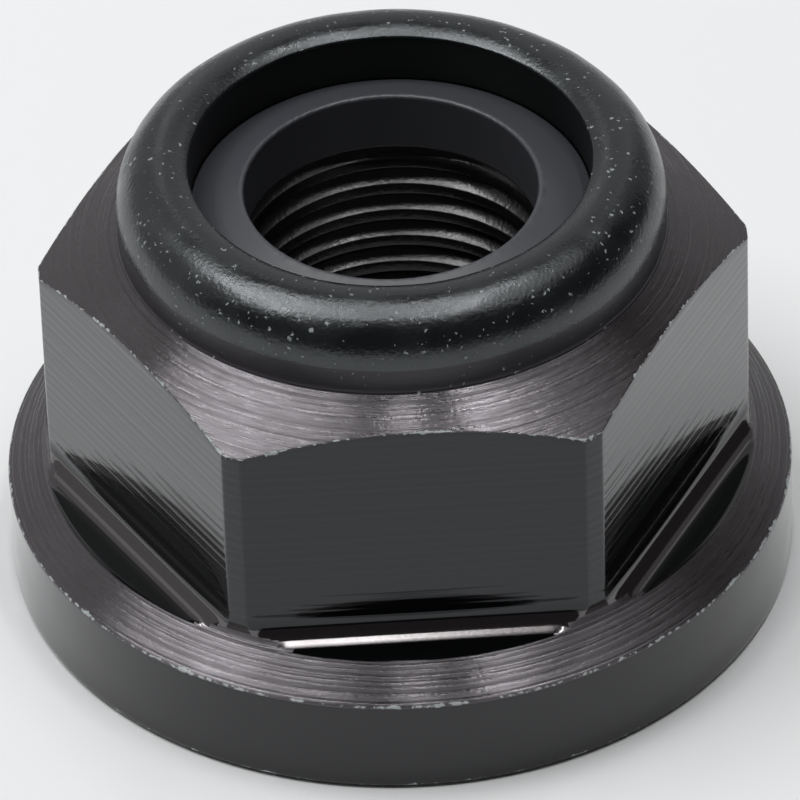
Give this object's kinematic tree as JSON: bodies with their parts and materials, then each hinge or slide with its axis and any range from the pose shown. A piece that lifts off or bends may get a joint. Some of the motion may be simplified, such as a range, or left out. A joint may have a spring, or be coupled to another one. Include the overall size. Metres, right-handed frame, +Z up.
{
  "type": "flange nut",
  "caption": "Hexagon flange nut with a prevailing-torque plastic ring held under its rolled collar, black finish, left-hand thread.",
  "frame": {"origin": "centre of the bearing face, at the bottom of the flange, on the thread axis", "axes": "+Z up the thread axis from the bearing face to the collar; two corners of the hexagon lie on the X axis"},
  "size_m": [0.0303, 0.0302, 0.0186],
  "materials": {
    "nut_body": "black oxide over turned and milled steel, glossy with pale worn edges",
    "locking_ring": "satin black nylon"
  },
  "bodies": {
    "root": {"nut_body": "nut_body", "locking_ring": "locking_ring"}
  },
  "joints": []
}
